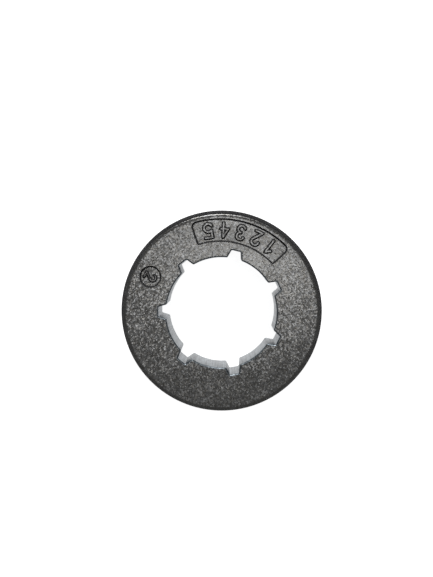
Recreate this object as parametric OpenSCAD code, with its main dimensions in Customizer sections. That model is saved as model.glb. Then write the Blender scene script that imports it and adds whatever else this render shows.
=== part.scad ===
// Floating rim sprocket of a chainsaw, cast in one piece of steel.
// It lies on its back face. The origin is on the axis of the bore, at the back face,
// and the marked front face looks up along +Z.

/* [Rim] */
// Width from the back face to the front face
rim_w = 12.5; // [11:0.1:16]
// Diameter at the crest, between the two outer cones
crest_d = 35.3; // [34:0.1:42]
// Width of the flat land along the crest, which the chain pockets open from
crest_land = 2.8; // [2:0.1:4]
// Draft angle of the two outer cones, measured from the axis
draft_angle = 8.3; // [5:0.1:11]
// Radius of the outer edge of each face
edge_r = 0.25; // [0.1:0.05:0.5]

/* [Splined bore] */
// Diameter between the crests of the splines
bore_d = 19; // [16:0.1:20]
// Number of spline notches
notch_count = 7; // [5:1:9]
// Direction of the first notch, counter-clockwise from +X
notch_angle = 24.9; // [0:0.1:51]
// Depth of a notch beyond the bore
notch_depth = 1.35; // [1:0.05:1.8]
// Width of a notch at its floor
notch_floor_w = 1.65; // [1.2:0.05:2]
// Angle of each notch flank, measured from the middle of the notch
notch_flank_angle = 16; // [8:1:22]
// Radius of the corners at the floor of a notch
notch_corner_r = 0.25; // [0.1:0.05:0.4]
// Radius of the corners at the mouth of a notch
notch_mouth_r = 0.25; // [0.1:0.05:0.4]

/* [Chain pockets] */
// Number of teeth, with one pocket after each
tooth_count = 7; // [6:1:9]
// Width of a pocket along the axis
pocket_w = 2.4; // [2:0.1:3.4]
// Wall between the bore and the floor of a pocket
pocket_wall = 2.7; // [2.2:0.1:3.4]
// Width of a tooth at the crest
tooth_tip_w = 5.3; // [4:0.1:6.5]
// Angle of each pocket flank, measured from the middle of the pocket
pocket_flank_angle = 30; // [20:1:36]
// Radius of the corners at the floor of a pocket
pocket_corner_r = 1.2; // [0.6:0.1:1.6]

/* [Arc panel] */
// Direction of the middle of the panel, counter-clockwise from +X
panel_angle = 75.5; // [0:0.5:180]
// Angle from one end of the panel to the other
panel_span = 65.4; // [55:0.1:80]
// Depth of the panel's floor below the face
panel_depth = 0.4; // [0.2:0.05:0.6]
// Face left between the notches and the panel
panel_inner_gap = 1.43; // [1:0.01:2]
// Face left between the panel and the outer edge
panel_outer_gap = 0.89; // [0.6:0.01:1.5]
// Radius of the panel's two outer corners
panel_corner_r = 0.85; // [0.3:0.05:1.1]
// Distance of the panel's centre from the axis of the bore, along +X
panel_shift = -0.2; // [-0.3:0.05:0.3]

/* [Raised figures] */
// Angle from one figure in the panel to the next
figure_step = 11.5; // [10:0.5:13]
// Face left above and below a figure in the panel
figure_gap = 0.45; // [0.3:0.05:0.8]
// Width of a figure as a share of its height
figure_slim = 0.6; // [0.5:0.02:0.7]
// Width of a stroke
stroke_w = 0.48; // [0.3:0.02:0.6]
// Height of the strokes above the floor that they stand on
stroke_h = 0.3; // [0.1:0.05:0.4]

/* [Round mark] */
// Diameter of the round recess
mark_d = 3.5; // [2.5:0.1:4]
// Direction of the round recess, counter-clockwise from +X
mark_angle = 153.3; // [130:0.1:240]
// Depth of the round recess
mark_depth = 0.35; // [0.2:0.05:0.6]
// Face left between the round recess and the outer edge
mark_edge_gap = 1.53; // [0.8:0.01:2]
// Floor left above and below the figure in the round recess
mark_figure_gap = 0.6; // [0.4:0.05:1]
// Width of a stroke of the figure in the round recess
mark_stroke_w = 0.36; // [0.24:0.02:0.4]

/* [Hidden] */
$fn = 96;
overcut = 1;
// Straight steps in a round corner of a notch or of the arc panel
arc_steps = 4;
bore_r = bore_d / 2;
crest_r = crest_d / 2;
notch_r = bore_r + notch_depth;
pocket_floor_r = bore_r + pocket_wall;
cone_h = (rim_w - crest_land) / 2;
// Radius at which a cone would meet the face if the edge were sharp
face_r = crest_r - cone_h * tan(draft_angle);
// Distance from that sharp edge to where its rounding starts
edge_run = edge_r * tan((90 - draft_angle) / 2);
panel_r_in = notch_r + panel_inner_gap;
panel_r_out = face_r - panel_outer_gap;
figure_r = (panel_r_in + panel_r_out) / 2;
figure_h = panel_r_out - panel_r_in - 2 * figure_gap;
mark_r = face_r - mark_edge_gap - mark_d / 2;
mark_figure_h = mark_d - 2 * mark_figure_gap;

// Half of the section through the rim, with exact rounded edges
module rim_section() {
    for (side = [0, 1])
        translate([0, side * rim_w])
            mirror([0, side])
                rim_half_section();
}

module rim_half_section() {
    polygon([
        [0, 0],
        [face_r - edge_run, 0],
        [face_r + edge_run * sin(draft_angle), edge_run * cos(draft_angle)],
        [crest_r, cone_h],
        [crest_r, rim_w / 2],
        [0, rim_w / 2]
    ]);
    translate([face_r - edge_run, edge_r])
        circle(edge_r);
}

// Groove with its floor on the Y axis, two slanted flanks that open towards +X, and round corners
module groove(floor_w, flank_angle, corner_r, reach) {
    corner_y = corner_place(floor_w, flank_angle, corner_r);
    polygon([for (side = [-1, 1], point = side < 0 ? [2, 1, 0] : [0, 1, 2])
        point == 0 ? [0, side * corner_y]
        : point == 1 ? [corner_r * (1 - sin(flank_angle)), side * (corner_y + corner_r * cos(flank_angle))]
        : [reach, side * (floor_w / 2 + reach * tan(flank_angle))]]);
    for (side = [-1, 1])
        translate([corner_r, side * corner_y])
            circle(corner_r);
}

// Point at a distance and a direction from the axis
function polar(r, a) = [r * cos(a), r * sin(a)];

// Points along an arc about c, from angle a to angle b
function arc(c, r, a, b) = [for (i = [0 : arc_steps]) c + polar(r, a + (b - a) * i / arc_steps)];

// Distance from the middle of a groove to the centre of the rounding at its floor
function corner_place(floor_w, flank_angle, corner_r) =
    floor_w / 2 - corner_r * (1 - sin(flank_angle)) / cos(flank_angle);

// Direction of the centre of the rounding at the mouth of a notch, which touches bore and flank
function mouth_turn() =
    asin((notch_mouth_r + notch_r * sin(notch_flank_angle) + notch_floor_w / 2 * cos(notch_flank_angle))
        / (bore_r + notch_mouth_r))
    - notch_flank_angle;

// One side of a notch: round corner at its floor, straight flank and round corner at its mouth.
// The last point lies inside the bore, beyond the end of the mouth's rounding.
function notch_side() =
    let (
        floor_centre = [notch_r - notch_corner_r, corner_place(notch_floor_w, notch_flank_angle, notch_corner_r)],
        mouth_centre = polar(bore_r + notch_mouth_r, mouth_turn()),
        mouth = arc(mouth_centre, notch_mouth_r, 270 - notch_flank_angle, 180 + mouth_turn())
    )
    concat(
        arc(floor_centre, notch_corner_r, 0, 90 - notch_flank_angle),
        [for (i = [0 : arc_steps - 1]) mouth[i]],
        [2 * mouth[arc_steps] - mouth[arc_steps - 1]]
    );

// One spline notch with its middle along +X
module notch() {
    upper = notch_side();
    last = len(upper) - 1;
    polygon(concat(upper, [for (i = [last : -1 : 0]) [upper[i][0], -upper[i][1]]]));
}

module splined_bore() {
    translate([0, 0, -overcut])
        linear_extrude(rim_w + 2 * overcut) {
            circle(bore_r);
            for (i = [0 : notch_count - 1])
                rotate(notch_angle + i * 360 / notch_count)
                    notch();
        }
}

// Slots for the chain's drive links, each midway between two notches
module chain_pockets() {
    tip_angle = asin(tooth_tip_w / 2 / crest_r);
    mouth = polar(crest_r, 180 / tooth_count - tip_angle);
    floor_w = 2 * (mouth[1] - (mouth[0] - pocket_floor_r) * tan(pocket_flank_angle));
    for (i = [0 : tooth_count - 1])
        rotate(notch_angle + (i + 0.5) * 360 / tooth_count)
            translate([pocket_floor_r, 0, (rim_w - pocket_w) / 2])
                linear_extrude(pocket_w)
                    groove(floor_w, pocket_flank_angle, pocket_corner_r, crest_r - pocket_floor_r + overcut);
}

// Wedge from the centre that covers a circle of radius r, from angle a to angle b
module wedge(r, a, b) {
    steps = 6;
    polygon([[0, 0], for (i = [0 : steps]) polar(2 * r, a + (b - a) * i / steps)]);
}

// One end of the arc panel: its straight side and its round outer corner.
// The last two points lie beyond the panel's outer arc.
function panel_end() =
    let (
        half_span = panel_span / 2,
        corner_turn = asin(panel_corner_r / (panel_r_out - panel_corner_r)),
        corner_centre = polar(panel_r_out - panel_corner_r, half_span - corner_turn),
        corner = arc(corner_centre, panel_corner_r, half_span + 90, half_span - corner_turn)
    )
    concat(
        corner,
        [2 * corner[arc_steps] - corner[arc_steps - 1]],
        [polar(2 * panel_r_out, half_span - corner_turn)]
    );

// Outline of the arc panel with its middle along +X
module panel_area() {
    upper = panel_end();
    last = len(upper) - 1;
    intersection() {
        difference() {
            circle(panel_r_out);
            circle(panel_r_in);
        }
        polygon(concat([[0, 0]], upper, [for (i = [last : -1 : 0]) [upper[i][0], -upper[i][1]]]));
    }
}

// Straight stroke from p to q, with round ends
module bar(p, q, w) {
    run = q - p;
    translate(p)
        rotate(atan2(run[1], run[0]))
            translate([0, -w / 2])
                square([norm(run), w]);
    for (end = [p, q])
        translate(end)
            circle(w / 2, $fn = 24);
}

// Curved stroke of radius r about c, from angle a to angle b, with round ends
module bow(c, r, a, b, w) {
    translate(c) {
        intersection() {
            difference() {
                circle(r + w / 2, $fn = 48);
                circle(r - w / 2, $fn = 48);
            }
            wedge(r + w / 2, a, b);
        }
        for (end = [a, b])
            translate(polar(r, end))
                circle(w / 2, $fn = 24);
    }
}

// Plain numeral, drawn with strokes of width w about its middle: h high over all
module figure(n, h, w) {
    top = (h - w) / 2;
    side = (h * figure_slim - w) / 2;
    stem = side / 3;
    if (n == 1) {
        bar([stem, -top], [stem, top], w);
        bar([stem, top], [stem - side, top - side], w);
    }
    if (n == 2) {
        hook = [0, top - side];
        hook_end = -35;
        bow(hook, side, hook_end, 180, w);
        bar(hook + polar(side, hook_end), [-side, -top], w);
        bar([-side, -top], [side, -top], w);
    }
    if (n == 3) {
        tail = 70;
        bow([0, top / 2], top / 2, -90, 90 + tail, w);
        bow([0, -top / 2], top / 2, -90 - tail, 90, w);
    }
    if (n == 4) {
        bar([stem, -top], [stem, top], w);
        bar([stem, top], [-side, -stem], w);
        bar([-side, -stem], [side, -stem], w);
    }
    if (n == 5) {
        belly_r = (top + stem) / 2;
        belly = [side - belly_r, belly_r - top];
        belly_start = 135;
        bar([side, top], [-side, top], w);
        bar([-side, top], belly + polar(belly_r, belly_start), w);
        bow(belly, belly_r, belly_start - 290, belly_start, w);
    }
}

// Five plain numerals on the floor of the panel, with their tops towards the bore
module panel_figures() {
    for (n = [1 : 5])
        rotate((n - 3) * figure_step)
            translate([figure_r, 0])
                rotate(90)
                    figure(n, figure_h, stroke_w);
}

module arc_panel() {
    translate([panel_shift, 0, rim_w])
        rotate(panel_angle) {
            difference() {
                translate([0, 0, -panel_depth])
                    linear_extrude(panel_depth + overcut)
                        panel_area();
                translate([0, 0, -panel_depth - overcut])
                    linear_extrude(overcut + stroke_h)
                        panel_figures();
            }
        }
}

module round_mark() {
    rotate(mark_angle)
        translate([mark_r, 0, rim_w])
            difference() {
                translate([0, 0, -mark_depth])
                    cylinder(h = mark_depth + overcut, d = mark_d);
                translate([0, 0, -mark_depth - overcut])
                    linear_extrude(overcut + stroke_h * mark_depth / panel_depth)
                        rotate(90)
                            figure(2, mark_figure_h, mark_stroke_w);
            }
}

module rim_sprocket() {
    color("dimgray")
        difference() {
            rotate_extrude()
                rim_section();
            splined_bore();
            chain_pockets();
            arc_panel();
            round_mark();
        }
}

rim_sprocket();
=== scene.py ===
# %% [markdown]
# # A cast rim sprocket, modelled and finished in Blender
#
# A rim sprocket is the small toothed ring that drives a saw chain. It is cast in one piece of steel,
# tumbled, blackened and left with its grainy skin, and only its splined bore is cut clean by a broach.
# This lesson builds the visible mesh of that one piece, gives it four finishes, and lights it the way a
# catalogue picture is lit: from above, on a white floor.

from math import asin, atan2, cos, degrees, hypot, pi, radians, sin, tan

import bmesh
import bpy
from mathutils import Matrix, Vector


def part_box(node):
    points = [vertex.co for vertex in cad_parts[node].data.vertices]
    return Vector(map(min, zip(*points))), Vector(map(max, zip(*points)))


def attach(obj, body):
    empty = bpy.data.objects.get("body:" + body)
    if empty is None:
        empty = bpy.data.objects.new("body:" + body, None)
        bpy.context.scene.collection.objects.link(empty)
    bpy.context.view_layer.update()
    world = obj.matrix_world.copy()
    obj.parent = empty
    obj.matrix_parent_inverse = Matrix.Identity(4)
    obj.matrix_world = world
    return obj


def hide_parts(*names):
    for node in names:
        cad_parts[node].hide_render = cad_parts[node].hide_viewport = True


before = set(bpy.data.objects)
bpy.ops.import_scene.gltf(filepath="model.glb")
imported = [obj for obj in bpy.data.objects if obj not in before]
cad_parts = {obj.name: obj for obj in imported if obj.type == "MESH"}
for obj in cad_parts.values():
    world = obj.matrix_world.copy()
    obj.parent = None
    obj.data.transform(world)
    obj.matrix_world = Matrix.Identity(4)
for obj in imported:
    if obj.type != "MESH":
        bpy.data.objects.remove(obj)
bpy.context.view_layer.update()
low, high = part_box("rim_sprocket")
print("CAD box in mm:", [round(1000 * side, 2) for side in high - low])

# %% [markdown]
# ## Working in millimetres
#
# Blender's unit here is the metre, but a part of 35 mm is easier to think of in millimetres. Everything is
# modelled in millimetres and scaled once at the end. Almost every outline of this part is made of straight
# lines and arcs, so one helper gives the points of an arc, and another moves an outline outwards by an even
# distance, which is what a draft or a round edge needs.

# %% Helpers for outlines
MM = 0.001
rim_w = (high.z - low.z) / MM


def polar(r, angle):
    return Vector((r * cos(radians(angle)), r * sin(radians(angle))))


def arc(centre, r, start, end, steps):
    turn = (end - start) / steps
    return [centre + polar(r, start + turn * i) for i in range(steps + 1)]


def grow(outline, distance):
    """Moves each point of a counter-clockwise outline outwards, so that every side moves by distance."""
    grown = []
    for i, point in enumerate(outline):
        before = (point - outline[i - 1]).normalized()
        after = (outline[(i + 1) % len(outline)] - point).normalized()
        side_before = Vector((before.y, -before.x))
        side_after = Vector((after.y, -after.x))
        bisector = (side_before + side_after).normalized()
        grown.append(point + bisector * distance / bisector.dot(side_after))
    return grown


origin = Vector((0, 0))
print("rim width in mm:", round(rim_w, 3))

# %% [markdown]
# ## Finishes as regions
#
# The real surface changes with how each zone was made, so every face is tagged with its finish as soon as it
# exists. The tag is simply the number of the material slot that the face will use.

# %% Regions of the surface
CAST_FACE = 0
# Walls of the recesses and sides of the numerals, painted almost black.
DARK_WALLS = 1
CAST_FLANK = 2
BROACHED_BORE = 3


def tag(faces, region, smooth=True):
    for face in faces:
        face.material_index = region
        face.smooth = smooth


def tag_new(rim, known, region, smooth=True):
    tag([face for face in rim.faces if face not in known], region, smooth)


# %% [markdown]
# ## The outside: one profile, spun round the bore
#
# Seen from the side, the rim is a straight belt between two shallow cones, because the casting has to leave
# its mould. Tumbling has worn the edge of each face: it dips gently first and then turns over in a small round.
# A lathe-like shape such as this one could be a stack of cylinders, but a profile of a few points that is spun
# round the axis gives even, clean quads. The number of steps is chosen so that the sides of the chain pockets
# fall exactly on edges of the mesh.

# %% Spin the outer profile
crest_r = 17.65
crest_land = 2.8
draft = 8.3
edge_r = 0.25
edge_steps = 4
tooth_count = 7
steps_per_tooth = 48
notch_angle = 24.9
pocket_w = 2.4

cone_h = (rim_w - crest_land) / 2
sharp_face_r = crest_r - cone_h * tan(radians(draft))
worn_edge_w = 0.38
worn_edge_drop = 0.05
worn_steps = 5
round_start = 80
flat_face_r = sharp_face_r - worn_edge_w - edge_r * tan(radians(45 - draft / 2))
first_pocket = notch_angle + 180 / tooth_count
worn_edge = []
for i in range(worn_steps):
    share = i / worn_steps
    worn_edge.append(Vector((flat_face_r + worn_edge_w * share, rim_w - worn_edge_drop * share ** 2)))
round_centre = Vector((flat_face_r + worn_edge_w, rim_w - worn_edge_drop - edge_r))
round_edge = worn_edge + arc(round_centre, edge_r, round_start, draft, edge_steps)
dark_edge_z = rim_w - worn_edge_drop - 0.3 * edge_r
land_top = Vector((crest_r, rim_w / 2 + crest_land / 2))
pocket_top = Vector((crest_r, rim_w / 2 + pocket_w / 2))
upper_half = round_edge + [land_top, pocket_top]
lower_half = [Vector((r, rim_w - z)) for r, z in reversed(upper_half)]

rim = bmesh.new()
profile = [rim.verts.new((*polar(r, first_pocket), z)) for r, z in upper_half + lower_half]
profile_edges = [rim.edges.new(pair) for pair in zip(profile, profile[1:])]
bmesh.ops.spin(rim, geom=profile + profile_edges, axis=(0, 0, 1), cent=(0, 0, 0), angle=2 * pi,
               steps=tooth_count * steps_per_tooth, use_merge=True, use_duplicate=False)
bmesh.ops.remove_doubles(rim, verts=rim.verts, dist=1e-4)
tag(rim.faces, CAST_FLANK)
for face in rim.faces:
    if abs(face.calc_center_median().z - rim_w / 2) > dark_edge_z - rim_w / 2:
        face.material_index = CAST_FACE
print("outer faces:", len(rim.faces), "flat face radius in mm:", round(flat_face_r, 2))

# %% [markdown]
# ## The chain pockets
#
# The drive links of the chain drop into seven slots at mid-width, and what is left between them are the teeth.
# A slot could be cut with a Boolean, but the spun shell already has edges where its sides run. So each slot is a
# patch of faces that is extruded towards the axis. The moved patch is then laid on the slot's real floor, which is
# flat in the middle and rounded at both ends, and the rim of the mouth gets a small bevel, because nothing that
# is cast and tumbled has a sharp edge.

# %% Extrude and bevel the pockets
bore_r = 9.5
pocket_floor_r = bore_r + 2.7
tooth_tip_w = 5.3
pocket_flank = 30
pocket_corner_r = 1.2
pocket_edge_r = 0.2

tooth_half_angle = degrees(asin(tooth_tip_w / 2 / crest_r))
half_steps = round((180 / tooth_count - tooth_half_angle) / 360 * tooth_count * steps_per_tooth)
half_pocket = half_steps * 360 / tooth_count / steps_per_tooth
mouth = polar(crest_r, half_pocket)
half_floor = mouth.y - (mouth.x - pocket_floor_r) * tan(radians(pocket_flank))
corner_y = half_floor - pocket_corner_r * tan(radians(45 - pocket_flank / 2))
corner_centre = Vector((pocket_floor_r + pocket_corner_r, corner_y))
corner_sweep = 90 - pocket_flank
corner_length = pocket_corner_r * radians(corner_sweep)


def floor_point(share):
    """Point of the slot's floor, from -1 at one flank over 0 in the middle to 1 at the other flank."""
    along = abs(share) * (corner_y + corner_length)
    side = 1 if share >= 0 else -1
    if along <= corner_y:
        return Vector((pocket_floor_r, side * along))
    point = corner_centre + polar(pocket_corner_r, 180 - degrees((along - corner_y) / pocket_corner_r))
    return Vector((point.x, side * point.y))


def angle_from(point, direction):
    return (degrees(atan2(point.y, point.x)) - direction + 180) % 360 - 180


known = set(rim.faces)
mouth_edges = set()
for i in range(tooth_count):
    direction = first_pocket + i * 360 / tooth_count
    patch = [face for face in known
             if abs(angle_from(face.calc_center_median(), direction)) < half_pocket
             and abs(face.calc_center_median().z - rim_w / 2) < pocket_w / 2]
    border = {edge for face in patch for edge in face.edges
              if sum(other in patch for other in edge.link_faces) == 1}
    mouth_edges |= border
    grown = bmesh.ops.extrude_face_region(rim, geom=patch, use_keep_orig=False)["geom"]
    known -= set(patch)
    bmesh.ops.delete(rim, geom=[face for face in patch if face.is_valid], context="FACES_ONLY")
    for vert in (item for item in grown if isinstance(item, bmesh.types.BMVert)):
        place = floor_point(angle_from(vert.co, direction) / half_pocket)
        turned = Matrix.Rotation(radians(direction), 2) @ place
        vert.co.xy = turned
tag_new(rim, known, CAST_FLANK)
known = set(rim.faces)
mouth_edges = [edge for edge in mouth_edges if edge.is_valid]
bmesh.ops.bevel(rim, geom=mouth_edges, offset=pocket_edge_r, offset_type="OFFSET", segments=3, profile=0.5,
                affect="EDGES", clamp_overlap=True, material=-1)
tag_new(rim, known, CAST_FLANK)
print("pocket half angle:", round(half_pocket, 2), "faces with pockets:", len(rim.faces))

# %% [markdown]
# ## Walls that follow an outline
#
# The bore, the sunk panel, the round mark and the raised numerals are all the same kind of form: an outline that
# runs up or down and draws in or out a little on the way. One helper lays the outline down at several levels
# and bridges each level to the next. A level is a distance outwards and a height.

# %% Bridge an outline through its levels
def lay(mesh, outline, z):
    verts = [mesh.verts.new((point.x, point.y, z)) for point in outline]
    return [mesh.edges.new(pair) for pair in zip(verts, verts[1:] + verts[:1])]


def raise_wall(mesh, outline, levels, region):
    """Makes the wall and returns its first and its last ring of edges."""
    rings = [lay(mesh, grow(outline, distance), z) for distance, z in levels]
    for ring, following in zip(rings, rings[1:]):
        made = bmesh.ops.bridge_loops(mesh, edges=ring + following)
        tag(made["faces"], region)
    return rings[0], rings[-1]


def round_levels(r, z, up, steps=4):
    """Levels of a quarter round of radius r, widest at height z, from which the wall goes on away from up."""
    turns = [90 * i / steps for i in range(steps + 1)]
    return [(r - r * sin(radians(turn)), z - up * (r - r * cos(radians(turn)))) for turn in turns]


# %% [markdown]
# ## The splined bore
#
# Seven notches are broached through the bore so that the rim can slide on its hub. Only the outline matters,
# because the broach pulls it straight through. It is worked out for one notch and turned seven times. Small
# rounds at the notch floors and at their mouths are part of the outline, and at both faces the edge rolls over.

# %% Outline and wall of the bore
notch_count = 7
notch_r = bore_r + 1.35
notch_floor_w = 1.65
notch_flank = 16
notch_corner_r = 0.25
notch_mouth_r = 0.3
bore_edge_r = 0.25
crest_steps = 14

floor_corner = Vector((notch_r - notch_corner_r,
                       notch_floor_w / 2 - notch_corner_r * tan(radians(45 - notch_flank / 2))))
flank_reach = notch_mouth_r + notch_r * sin(radians(notch_flank)) + notch_floor_w / 2 * cos(radians(notch_flank))
mouth_turn = degrees(asin(flank_reach / (bore_r + notch_mouth_r))) - notch_flank
mouth_corner = polar(bore_r + notch_mouth_r, mouth_turn)
pitch = 360 / notch_count

one_side = arc(floor_corner, notch_corner_r, 0, 90 - notch_flank, 4)
one_side += arc(mouth_corner, notch_mouth_r, 270 - notch_flank, 180 + mouth_turn, 4)
other_side = [Vector((point.x, -point.y)) for point in reversed(one_side)]
crest = arc(origin, bore_r, mouth_turn, pitch - mouth_turn, crest_steps)[1:-1]
notch_and_crest = other_side + one_side + crest
bore_outline = [Matrix.Rotation(radians(notch_angle + i * pitch), 2) @ point
                for i in range(notch_count) for point in notch_and_crest]

edge_levels = round_levels(bore_edge_r, 0, -1)
bore_levels = edge_levels + [(distance, rim_w - z) for distance, z in reversed(edge_levels)]
bore_back, bore_front = raise_wall(rim, bore_outline, bore_levels, BROACHED_BORE)
print("points in the bore's outline:", len(bore_outline))

# %% [markdown]
# ## The arc panel and the round mark
#
# The pattern that shaped the casting had two sunk fields on one face: a panel shaped like a piece of a ring, and
# a small disc. Their walls lean outwards, so that the pattern comes out of the mould, their top edge is rounded
# by tumbling, and a fillet runs round the floor.

# %% Outlines of the two recesses
panel_angle = 75.5
panel_span = 65.4
panel_r_in = 12.28
panel_r_out = 16.05
panel_outer_corner_r = 0.85
panel_inner_corner_r = 0.25
panel_depth = 0.4
panel_centre = Vector((-0.2, 0))
mark_r = 1.75
mark_depth = 0.35
mark_centre = polar(13.66, 153.3)


def sector_corner(r, corner_r, side, outer):
    """Round corner of the panel, as points that run counter-clockwise round the panel's outline."""
    centre_r = r - corner_r if outer else r + corner_r
    direction = side * (panel_span / 2 - degrees(asin(corner_r / centre_r)))
    centre = polar(centre_r, direction)
    start = direction + {(True, -1): -90, (True, 1): 0, (False, 1): 90, (False, -1): 180}[outer, side]
    return arc(centre, corner_r, start, start + 90, 5)


def sector():
    outline = sector_corner(panel_r_out, panel_outer_corner_r, -1, True)
    start, end = outline[-1], sector_corner(panel_r_out, panel_outer_corner_r, 1, True)[0]
    outline += arc(origin, panel_r_out, degrees(atan2(start.y, start.x)), degrees(atan2(end.y, end.x)), 28)[1:-1]
    outline += sector_corner(panel_r_out, panel_outer_corner_r, 1, True)
    outline += sector_corner(panel_r_in, panel_inner_corner_r, 1, False)
    start, end = outline[-1], sector_corner(panel_r_in, panel_inner_corner_r, -1, False)[0]
    outline += arc(origin, panel_r_in, degrees(atan2(start.y, start.x)), degrees(atan2(end.y, end.x)), 24)[1:-1]
    outline += sector_corner(panel_r_in, panel_inner_corner_r, -1, False)
    return [panel_centre + Matrix.Rotation(radians(panel_angle), 2) @ point for point in outline]


def recess_levels(depth, lean=0.09, top_round=0.07, fillet=0.06):
    """Top edge, leaning wall and fillet of a recess."""
    top = [(lean + distance, z) for distance, z in round_levels(top_round, rim_w, 1, steps=3)]
    floor_z = rim_w - depth
    bottom = [(-lean, floor_z + fillet), (-lean - fillet / 3, floor_z + fillet / 3), (-lean - fillet, floor_z)]
    return top + bottom


panel_top, panel_floor = raise_wall(rim, sector(), recess_levels(panel_depth), DARK_WALLS)
mark_outline = arc(mark_centre, mark_r, 0, 360, 48)[:-1]
mark_top, mark_floor = raise_wall(rim, mark_outline, recess_levels(mark_depth), DARK_WALLS)
print("panel outline points:", len(panel_top), "round mark points:", len(mark_top))

# %% [markdown]
# ## Plain raised numerals
#
# The recesses hold numerals that stand up from the floor, drawn with strokes of one width as a pattern maker's
# engraving tool draws them. Each stroke is a low, round-ended bar with leaning sides. The strokes of a numeral
# overlap, so a Boolean unites them, and the faces they stood on are taken away, so that the floor can later be
# filled round their feet.

# %% Strokes
def stroke_outline(path, half_w):
    """Outline of a round-ended stroke of even width along a path of points, counter-clockwise."""
    right, left = [], []
    for i, point in enumerate(path):
        ahead = (path[min(i + 1, len(path) - 1)] - path[max(i - 1, 0)]).normalized()
        side = Vector((ahead.y, -ahead.x)) * half_w
        right.append(point + side)
        left.append(point - side)
    first = (path[1] - path[0]).normalized()
    last = (path[-1] - path[-2]).normalized()
    head = degrees(atan2(last.y, last.x))
    tail = degrees(atan2(first.y, first.x))
    end_cap = arc(path[-1], half_w, head - 90, head + 90, 8)[1:-1]
    start_cap = arc(path[0], half_w, tail + 90, tail + 270, 8)[1:-1]
    return right + end_cap + list(reversed(left)) + start_cap


def numeral_strokes(n, h, w, slim=0.6):
    """Centre lines of a numeral that is h high over all, about its own middle."""
    top = (h - w) / 2
    side = (h * slim - w) / 2
    stem = side / 3

    def point(x, y):
        return Vector((x, y))

    if n == 1:
        return [[point(stem, -top), point(stem, top)], [point(stem, top), point(stem - side, top - side)]]
    if n == 2:
        hook = arc(point(0, top - side), side, 180, -35, 18)
        return [hook, [hook[-1], point(-side, -top)], [point(-side, -top), point(side, -top)]]
    if n == 3:
        return [arc(point(0, top / 2), top / 2, 160, -90, 18), arc(point(0, -top / 2), top / 2, 90, -160, 18)]
    if n == 4:
        return [[point(stem, -top), point(stem, top)], [point(stem, top), point(-side, -stem)],
                [point(-side, -stem), point(side, -stem)]]
    belly_r = (top + stem) / 2
    belly = arc(point(side - belly_r, belly_r - top), belly_r, 135, -155, 20)
    return [[point(side, top), point(-side, top)], [point(-side, top), belly[0]], belly]


def stroke_object(path, w, floor_z, height, place):
    """One stroke as a closed bar with leaning sides and a soft top edge, standing on the floor."""
    mesh = bmesh.new()
    lean = 0.13
    foot = (w / 2 + lean, floor_z)
    middle = (w / 2, floor_z + height * 0.5)
    shoulder = (w / 2 - lean / 2, floor_z + height * 0.85)
    top = (w / 2 - lean, floor_z + height)
    rings = []
    for half_w, z in (foot, middle, shoulder, top):
        outline = [place @ point.to_3d() for point in stroke_outline(path, half_w)]
        rings.append(lay(mesh, outline, z))
    for ring, following in zip(rings, rings[1:]):
        bmesh.ops.bridge_loops(mesh, edges=ring + following)
    bmesh.ops.holes_fill(mesh, edges=rings[0] + rings[-1], sides=0)
    bmesh.ops.recalc_face_normals(mesh, faces=mesh.faces)
    data = bpy.data.meshes.new("stroke")
    mesh.to_mesh(data)
    mesh.free()
    stroke = bpy.data.objects.new("stroke", data)
    bpy.context.collection.objects.link(stroke)
    return stroke


def add_numeral(rim, n, h, w, height, floor_z, centre, turn):
    """Unites a numeral's strokes, adds it to the rim and returns the open ring of edges round its foot."""
    place = Matrix.Translation(centre.to_3d()) @ Matrix.Rotation(radians(turn), 4, "Z")
    strokes = [stroke_object(path, w, floor_z, height, place) for path in numeral_strokes(n, h, w)]
    for other in strokes[1:]:
        union = strokes[0].modifiers.new("union", "BOOLEAN")
        union.operation = "UNION"
        union.solver = "EXACT"
        union.object = other
    united = strokes[0].evaluated_get(bpy.context.evaluated_depsgraph_get()).to_mesh()
    known = set(rim.faces)
    rim.from_mesh(united)
    strokes[0].to_mesh_clear()
    fresh = [face for face in rim.faces if face not in known]
    feet = [face for face in fresh if all(abs(vert.co.z - floor_z) < 1e-3 for vert in face.verts)]
    bmesh.ops.delete(rim, geom=feet, context="FACES_ONLY")
    fresh = [face for face in fresh if face.is_valid]
    # The numerals' sides get the near-black paint of the outline walls, and their tops get the face's finish.
    tag(fresh, DARK_WALLS)
    tops = [face for face in fresh if face.normal.z > 0.99]
    tag(tops, CAST_FACE)
    for stroke in strokes:
        data = stroke.data
        bpy.data.objects.remove(stroke)
        bpy.data.meshes.remove(data)
    return list({edge for face in fresh for edge in face.edges if len(edge.link_faces) == 1})


# %% [markdown]
# The five numerals stand evenly on the panel's middle line, with their tops towards the bore. They could be text
# objects, but a typeface has strokes of changing width and sharp corners, which a numeral cast in steel lacks.
# The numeral in the round mark has the same form and is smaller.

# %% Numerals 1 to 5 in the panel and a 2 in the round mark
figure_step = 11.5
figure_gap = 0.45
figure_r = (panel_r_in + panel_r_out) / 2
figure_h = panel_r_out - panel_r_in - 2 * figure_gap
figure_stroke = 0.48
figure_height = 0.3
mark_figure_h = 2.3
mark_stroke = 0.36

panel_feet = []
for n in range(1, 6):
    direction = panel_angle + (n - 3) * figure_step
    panel_feet += add_numeral(rim, n, figure_h, figure_stroke, figure_height, rim_w - panel_depth,
                              panel_centre + polar(figure_r, direction), direction + 90)
mark_feet = add_numeral(rim, 2, mark_figure_h, mark_stroke, figure_height * mark_depth / panel_depth,
                        rim_w - mark_depth, mark_centre, 153.3 + 90)
print("edges round the numerals' feet:", len(panel_feet) + len(mark_feet))

# %% [markdown]
# ## Filling the flat fields
#
# What is still open are flat fields: the two faces and the floors of the recesses. Each is bounded by rings of
# edges, one outside and the others inside as islands, and Blender's triangle fill closes such a field in one go.

# %% Fill faces and floors
def fill(edges, region):
    made = bmesh.ops.triangle_fill(rim, edges=edges, use_beauty=True, use_dissolve=False)
    faces = [item for item in made["geom"] if isinstance(item, bmesh.types.BMFace)]
    tag(faces, region, smooth=False)
    return len(faces)


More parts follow.
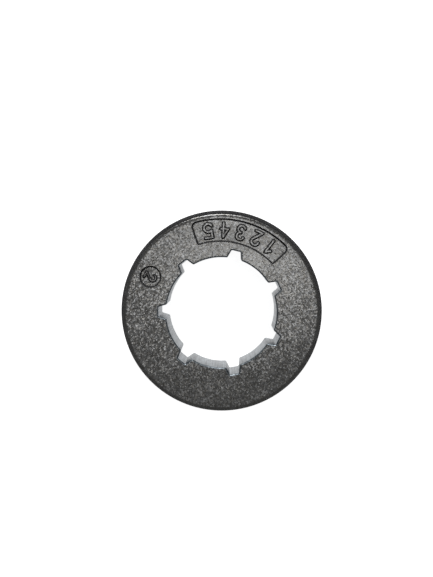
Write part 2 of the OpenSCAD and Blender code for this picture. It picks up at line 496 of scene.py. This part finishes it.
def open_edges(z, near_r):
    return [edge for edge in rim.edges if len(edge.link_faces) == 1
            and all(abs(vert.co.z - z) < 1e-3 and abs(vert.co.xy.length - near_r) < 0.02 for vert in edge.verts)]


outer_front = open_edges(rim_w, flat_face_r)
outer_back = open_edges(0, flat_face_r)
print("front face:", fill(outer_front + bore_front + panel_top + mark_top, CAST_FACE), "faces")
print("back face:", fill(outer_back + bore_back, CAST_FACE), "faces")
print("panel floor:", fill(panel_floor + panel_feet, CAST_FACE), "faces")
print("mark floor:", fill(mark_floor + mark_feet, CAST_FACE), "faces")

# %% [markdown]
# ## One closed mesh
#
# The mesh is now closed. Where the pocket mouths and the numerals' feet were opened, only faces were deleted, so
# their edges still lie there as loose wires and are removed first. Doubles are merged, the normals are made to
# point outwards, and the mesh is scaled to metres and put into one object that stands for the CAD node. An edge
# that hasn't two faces would be a fault, so those are counted. Marking the sharp edges by their angle makes every
# face smooth, so the level faces are set back to flat. Their triangles are large, and smooth shading would give
# them a slant from the rounded walls at their rims.

# %% Finish the mesh
wires = [edge for edge in rim.edges if not edge.link_faces]
bmesh.ops.delete(rim, geom=wires, context="EDGES")
bmesh.ops.remove_doubles(rim, verts=rim.verts, dist=1e-4)
bmesh.ops.recalc_face_normals(rim, faces=rim.faces)
faulty_count = sum(not edge.is_manifold for edge in rim.edges)
stray_count = sum(not vert.link_faces for vert in rim.verts)
print("edges without two faces:", faulty_count, "stray points:", stray_count)
print("volume in mm3:", round(rim.calc_volume(), 1))
bmesh.ops.scale(rim, vec=(MM, MM, MM), verts=rim.verts)
mesh = bpy.data.meshes.new("cast_rim")
rim.to_mesh(mesh)
rim.free()
mesh.set_sharp_from_angle(angle=radians(40))
level_normal_z = 0.9999
for polygon in mesh.polygons:
    polygon.use_smooth = abs(polygon.normal.z) < level_normal_z
cast_rim = bpy.data.objects.new("cast_rim", mesh)
bpy.context.collection.objects.link(cast_rim)
mesh.calc_loop_triangles()
print("triangles:", len(mesh.loop_triangles))

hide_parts("rim_sprocket")
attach(cast_rim, "root")

# %% [markdown]
# ## Materials
#
# Each finish is a small network of nodes on Object coordinates, so a pattern keeps its real size. One helper adds
# a node with its settings and links, and another turns the hex value of a colour into Blender's linear numbers.

# %% Helpers for materials
def srgb(code):
    channels = [int(code[i:i + 2], 16) / 255 for i in (1, 3, 5)]
    linear = [c / 12.92 if c <= 0.04045 else ((c + 0.055) / 1.055) ** 2.4 for c in channels]
    return (*linear, 1)


def add(tree, kind, values=None, links=None, **settings):
    node = tree.nodes.new(kind)
    for name, value in settings.items():
        setattr(node, name, value)
    for socket, value in (values or {}).items():
        node.inputs[socket].default_value = value
    for socket, source in (links or {}).items():
        tree.links.new(source, node.inputs[socket])
    return node


def new_material(name):
    material = bpy.data.materials.new(name)
    material.use_nodes = True
    tree = material.node_tree
    tree.nodes.clear()
    shader = add(tree, "ShaderNodeBsdfPrincipled")
    add(tree, "ShaderNodeOutputMaterial", links={"Surface": shader.outputs[0]})
    place = add(tree, "ShaderNodeTexCoord").outputs["Object"]
    return material, tree, shader, place


def per_mm(size):
    """Texture scale for features of that size in millimetres, on coordinates in metres."""
    return 1 / (size * MM)


# %% [markdown]
# ### As-cast steel face
#
# The faces keep the skin of the ceramic mould: a fine, even grain of about a third of a millimetre, tumbled so
# that its high points are bare and glitter while its pits stay dark. It is metal through and through, so the
# base colour is the colour of the reflection. A coarse noise makes the slow mottling, a fine one the grain. The
# glitter comes from facets of 0.2 mm that each lean their own way: every cell of a Voronoi texture has a random
# colour, which is centred on zero and added to the surface's normal. FACET_TILT says how far they lean.

# %% Grainy face
FACET_TILT = 0.13


def make_cast_face():
    material, tree, shader, place = new_material("as_cast_tumbled_steel")
    grain = add(tree, "ShaderNodeTexNoise", {"Scale": per_mm(0.36), "Detail": 2, "Roughness": 0.6},
                {"Vector": place})
    mottle = add(tree, "ShaderNodeTexNoise", {"Scale": per_mm(3.5), "Detail": 2}, {"Vector": place})
    facet = add(tree, "ShaderNodeTexVoronoi", {"Scale": per_mm(0.21)}, {"Vector": place})
    height = add(tree, "ShaderNodeMapRange", {"From Min": 0.3, "From Max": 0.7}, {"Value": grain.outputs["Fac"]})
    tone = add(tree, "ShaderNodeMix", {"A": srgb("#595753"), "B": srgb("#6e6f70")},
               {"Factor": height.outputs[0]}, data_type="RGBA")
    slow = add(tree, "ShaderNodeMapRange", {"From Min": 0.3, "From Max": 0.7, "To Min": 0.85, "To Max": 1.1},
               {"Value": mottle.outputs["Fac"]})
    colour = add(tree, "ShaderNodeVectorMath", links={0: tone.outputs["Result"], 1: slow.outputs[0]},
                 operation="MULTIPLY")
    tree.links.new(colour.outputs[0], shader.inputs["Base Color"])
    flat = add(tree, "ShaderNodeNewGeometry").outputs["Normal"]
    centred = add(tree, "ShaderNodeVectorMath", {1: (0.5, 0.5, 0.5)}, {0: facet.outputs["Color"]},
                  operation="SUBTRACT")
    tilt = add(tree, "ShaderNodeVectorMath", {1: (FACET_TILT, FACET_TILT, FACET_TILT), 2: (0, 0, 0)},
               {0: centred.outputs[0], 2: flat}, operation="MULTIPLY_ADD")
    tilted = add(tree, "ShaderNodeVectorMath", links={0: tilt.outputs[0]}, operation="NORMALIZE")
    bump = add(tree, "ShaderNodeBump", {"Strength": 0.2, "Distance": 0.015 * MM},
               {"Height": grain.outputs["Fac"], "Normal": tilted.outputs[0]})
    tree.links.new(bump.outputs[0], shader.inputs["Normal"])
    shader.inputs["Metallic"].default_value = 1
    shader.inputs["Roughness"].default_value = 0.27
    return material


# %% [markdown]
# ### Dark walls round the recesses and numerals
#
# The sunk walls of the recesses and the leaning sides of the numerals are painted almost black, so that every
# raised or sunk outline shows as a dark line.

# %% Dark walls
def make_dark_walls():
    material, tree, shader, place = new_material("dark_outline_walls")
    grain = add(tree, "ShaderNodeTexNoise", {"Scale": per_mm(0.3), "Detail": 3}, {"Vector": place})
    # The walls round every outline are painted almost black.
    tone = add(tree, "ShaderNodeMix", {"A": srgb("#1b1b1c"), "B": srgb("#3c3c3d")},
               {"Factor": grain.outputs["Fac"]}, data_type="RGBA")
    tree.links.new(tone.outputs["Result"], shader.inputs["Base Color"])
    bump = add(tree, "ShaderNodeBump", {"Strength": 0.5, "Distance": 0.04 * MM},
               {"Height": grain.outputs["Fac"]})
    tree.links.new(bump.outputs[0], shader.inputs["Normal"])
    shader.inputs["Roughness"].default_value = 0.7
    shader.inputs["Specular IOR Level"].default_value = 0.1
    return material


# %% [markdown]
# ### Black cast flank
#
# The outer cones and the pockets stay as they left the blackening bath: a matte, almost black oxide skin with
# the same fine grain. It isn't metal to the eye, so it is a rough dielectric with a weak reflection.

# %% Matte black flank
def make_cast_flank():
    material, tree, shader, place = new_material("black_oxide_cast_skin")
    grain = add(tree, "ShaderNodeTexNoise", {"Scale": per_mm(0.45), "Detail": 3, "Roughness": 0.6},
                {"Vector": place})
    mottle = add(tree, "ShaderNodeTexNoise", {"Scale": per_mm(4), "Detail": 2}, {"Vector": place})
    both = add(tree, "ShaderNodeMath", links={0: grain.outputs["Fac"], 1: mottle.outputs["Fac"]},
               operation="MULTIPLY")
    spread = add(tree, "ShaderNodeMapRange", {"From Min": 0.12, "From Max": 0.42}, {"Value": both.outputs[0]})
    tone = add(tree, "ShaderNodeMix", {"A": srgb("#0c0c0d"), "B": srgb("#1b1b1c")},
               {"Factor": spread.outputs[0]}, data_type="RGBA")
    tree.links.new(tone.outputs["Result"], shader.inputs["Base Color"])
    bump = add(tree, "ShaderNodeBump", {"Strength": 0.6, "Distance": 0.06 * MM},
               {"Height": grain.outputs["Fac"]})
    tree.links.new(bump.outputs[0], shader.inputs["Normal"])
    shader.inputs["Roughness"].default_value = 0.8
    shader.inputs["Specular IOR Level"].default_value = 0.03
    return material


# %% [markdown]
# ### Broached bore
#
# The broach shaves the bore along its axis and leaves bright steel with fine straight scores. A noise that is
# stretched along the axis draws them, both in tone and in relief. The grey of the base colour is the steel's own;
# its slight blue cast is a painted reflection of pale blue-grey surroundings.

# %% Scored bright bore
def make_broached_bore():
    material, tree, shader, place = new_material("broached_steel")
    stretched = add(tree, "ShaderNodeMapping", {"Scale": (1, 1, 0.02)}, {"Vector": place})
    scores = add(tree, "ShaderNodeTexNoise", {"Scale": per_mm(0.28), "Detail": 3, "Roughness": 0.6},
                 {"Vector": stretched.outputs[0]})
    fleck = add(tree, "ShaderNodeTexNoise", {"Scale": per_mm(0.9), "Detail": 3}, {"Vector": place})
    half = add(tree, "ShaderNodeMath", {1: 0.5}, {0: scores.outputs["Fac"]}, operation="MULTIPLY")
    mixed = add(tree, "ShaderNodeMath", operation="MULTIPLY_ADD",
                links={0: fleck.outputs["Fac"], 1: scores.outputs["Fac"], 2: half.outputs[0]})
    spread = add(tree, "ShaderNodeMapRange", {"From Min": 0.35, "From Max": 0.65}, {"Value": mixed.outputs[0]})
    # Steel grey with a slight blue cast: the grey is the steel's own, the blue is a painted reflection of pale
    # blue-grey surroundings.
    tone = add(tree, "ShaderNodeMix", {"A": srgb("#464b50"), "B": srgb("#80878c")},
               {"Factor": spread.outputs[0]}, data_type="RGBA")
    tree.links.new(tone.outputs["Result"], shader.inputs["Base Color"])
    bump = add(tree, "ShaderNodeBump", {"Strength": 0.4, "Distance": 0.03 * MM},
               {"Height": scores.outputs["Fac"]})
    tree.links.new(bump.outputs[0], shader.inputs["Normal"])
    shader.inputs["Metallic"].default_value = 1
    shader.inputs["Roughness"].default_value = 0.36
    return material


for make in (make_cast_face, make_dark_walls, make_cast_flank, make_broached_bore):
    cast_rim.data.materials.append(make())
print("finishes:", [material.name for material in cast_rim.data.materials])

# %% [markdown]
# ## Floor, light and camera
#
# The part lies on a plain white floor. The floor is pale paint that the lamps light, and for the camera and for
# glossy surfaces it also glows a little, so that it shows as the even white of a catalogue page.

# %% Floor
floor_mesh = bmesh.new()
bmesh.ops.create_grid(floor_mesh, x_segments=1, y_segments=1, size=1.5)
floor_data = bpy.data.meshes.new("floor")
floor_mesh.to_mesh(floor_data)
floor_mesh.free()
floor = bpy.data.objects.new("floor", floor_data)
bpy.context.collection.objects.link(floor)
floor.location.z = -0.02 * MM

floor_material, floor_tree, floor_shader, _ = new_material("white_floor")
floor_tree.nodes.clear()
rays = add(floor_tree, "ShaderNodeLightPath")
seen = add(floor_tree, "ShaderNodeMath", operation="MAXIMUM",
           links={0: rays.outputs["Is Camera Ray"], 1: rays.outputs["Is Glossy Ray"]})
glow_strength = add(floor_tree, "ShaderNodeMath", {1: 0.87}, {0: seen.outputs[0]}, operation="MULTIPLY")
matte = add(floor_tree, "ShaderNodeBsdfDiffuse", {"Color": srgb("#e6e6e6")})
glow = add(floor_tree, "ShaderNodeEmission", {"Color": (1, 1, 1, 1)}, {"Strength": glow_strength.outputs[0]})
both = add(floor_tree, "ShaderNodeAddShader", links={0: matte.outputs[0], 1: glow.outputs[0]})
add(floor_tree, "ShaderNodeOutputMaterial", links={"Surface": both.outputs[0]})
floor_data.materials.append(floor_material)

# %% [markdown]
# ### Lamps
#
# The face mirrors what is near the camera, so two small soft lamps beside it make the bright part of the ring and
# leave the rest dark. A broad lamp far behind the part draws its round edges, and a weak white world fills in.
# They are area lamps, because the size of such a lamp is the softness of its light.

# %% Lamps and world
def area_lamp(name, place, aim, size, power):
    data = bpy.data.lights.new(name, "AREA")
    data.shape = "DISK"
    data.size = size * MM
    data.energy = power
    lamp = bpy.data.objects.new(name, data)
    bpy.context.collection.objects.link(lamp)
    lamp.location = Vector(place) * MM
    lamp.rotation_euler = (Vector(aim) - Vector(place)).to_track_quat("-Z", "Y").to_euler()
    return lamp


area_lamp("left_lamp_by_camera", (-8, 9, 195), (0, 0, 12), 20, 0.0175)
area_lamp("right_lamp_by_camera", (24, 16, 195), (0, 0, 12), 30, 0.0168)
area_lamp("broad_back_lamp", (-20, 260, 190), (0, 0, 6), 160, 0.9)

world = bpy.data.worlds.new("studio")
bpy.context.scene.world = world
world.use_nodes = True
world.node_tree.nodes["Background"].inputs["Color"].default_value = srgb("#ffffff")
world.node_tree.nodes["Background"].inputs["Strength"].default_value = 0.25

# %% [markdown]
# ### Camera
#
# The camera looks almost straight down on the small part. Two points place it, where it stands and where it aims,
# and its three axes follow from them, with the top of the picture towards +Y.

# %% Camera
camera_place = Vector((1.3, 12.07, 212.9)) * MM
camera_aim = Vector((-0.84, 4.13, 12.5)) * MM
camera_data = bpy.data.cameras.new("camera")
camera_data.sensor_width = 36
camera_data.lens = 72.85
camera_data.clip_start = 0.01
camera = bpy.data.objects.new("camera", camera_data)
bpy.context.collection.objects.link(camera)
back = (camera_place - camera_aim).normalized()
right = Vector((0, 1, 0)).cross(back).normalized()
upward = back.cross(right)
camera.matrix_world = Matrix.Translation(camera_place) @ Matrix((right, upward, back)).transposed().to_4x4()
bpy.context.scene.camera = camera
bpy.context.scene.view_settings.view_transform = "Standard"
